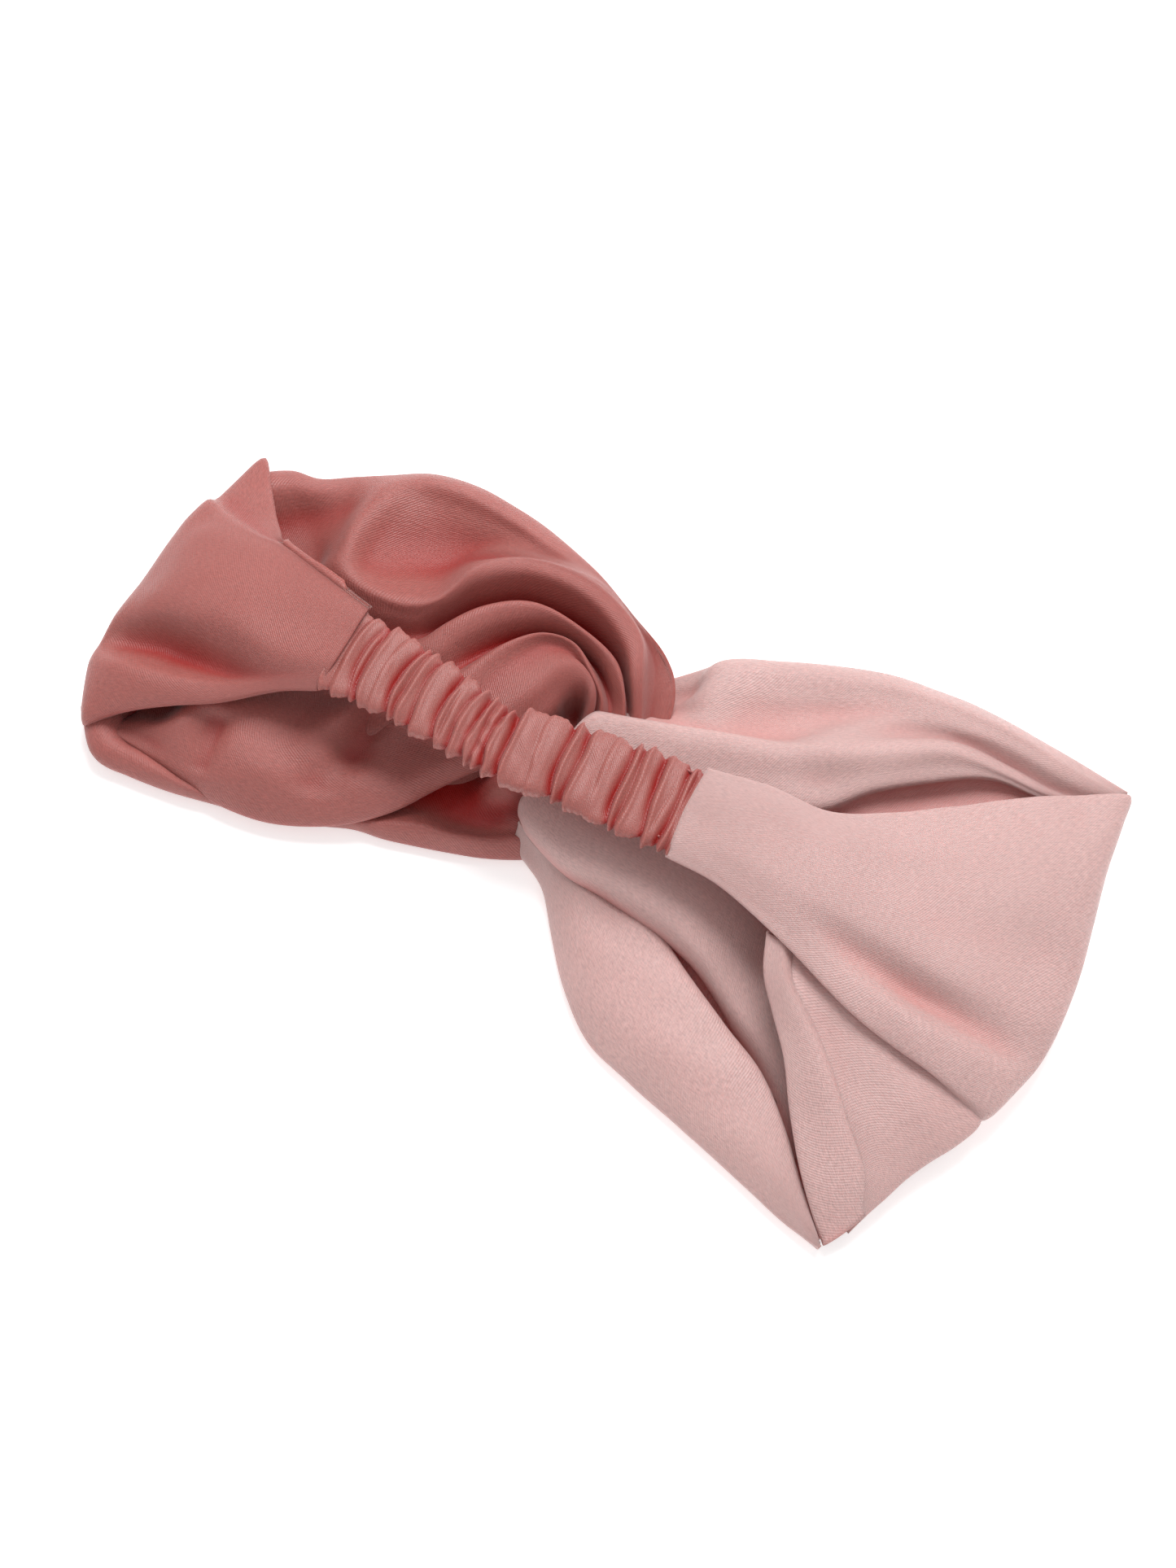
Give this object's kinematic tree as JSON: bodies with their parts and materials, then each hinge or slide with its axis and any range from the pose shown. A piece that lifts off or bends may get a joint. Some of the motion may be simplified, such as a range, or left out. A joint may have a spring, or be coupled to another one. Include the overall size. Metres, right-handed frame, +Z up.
{
  "type": "knotted headband",
  "caption": "Two-tone satin headband with a twist knot at the front and a gathered elastic back, lying flat.",
  "frame": {"origin": "on the surface it lies on, under the middle of the headband's box", "axes": "+X along the flattened loop from the coral end to the pink end, +Y across the band, +Z up"},
  "size_m": [0.254, 0.14, 0.035],
  "materials": {
    "coral_satin": "soft crepe-backed satin, low gloss",
    "pink_satin": "soft crepe-backed satin, low gloss",
    "coral_casing_satin": "gathered satin, sheen on the ridges",
    "elastic": "woven elastic, matt",
    "thread": "polyester sewing thread"
  },
  "bodies": {
    "front": {"coral_outer_layer": "coral_satin", "coral_inner_layer": "coral_satin", "pink_outer_layer": "pink_satin", "pink_inner_layer": "pink_satin", "coral_knot_bend": "coral_satin", "pink_knot_bend": "pink_satin"},
    "coral_side": {"coral_side_outer": "coral_satin", "coral_side_inner": "coral_satin", "coral_end_seam": "thread"},
    "coral_half": {"casing_coral_half": "coral_casing_satin", "elastic_band": "elastic", "elastic_tack_coral": "thread", "casing_seam_coral": "thread"},
    "pink_half": {"casing_pink_half": "coral_casing_satin", "elastic_tack_pink": "thread", "casing_seam_pink": "thread"},
    "pink_side": {"pink_side_outer": "pink_satin", "pink_side_inner": "pink_satin", "pink_end_seam": "thread"}
  },
  "joints": [
    {"name": "coral_fold", "type": "hinge", "parent": "front", "child": "coral_side", "pos_m": [-0.119, 0, 0.0085], "axis": [0, -1, 0], "range_deg": [0, 30], "stiffness_Nm_per_rad": 0.01},
    {"name": "coral_seam_bend", "type": "hinge", "parent": "coral_side", "child": "coral_half", "pos_m": [-0.0672, 0.004, 0.031], "axis": [0, 1, 0], "range_deg": [0, 30]},
    {"name": "elastic_stretch", "type": "slide", "parent": "coral_half", "child": "pink_half", "axis": [1, 0, 0], "range_m": [0, 0.0275], "deforming": ["elastic_band"]},
    {"name": "pink_fold", "type": "hinge", "parent": "front", "child": "pink_side", "pos_m": [0.119, 0, 0.0085], "axis": [0, 1, 0], "range_deg": [0, 15.4]}
  ],
  "couplings": [
    {"joint": "coral_seam_bend", "follows": "coral_fold", "ratio": 1},
    {"joint": "elastic_stretch", "follows": "coral_fold", "m_per_rad": 0.0521},
    {"joint": "pink_fold", "follows": "coral_fold", "ratio": 0.5085}
  ]
}
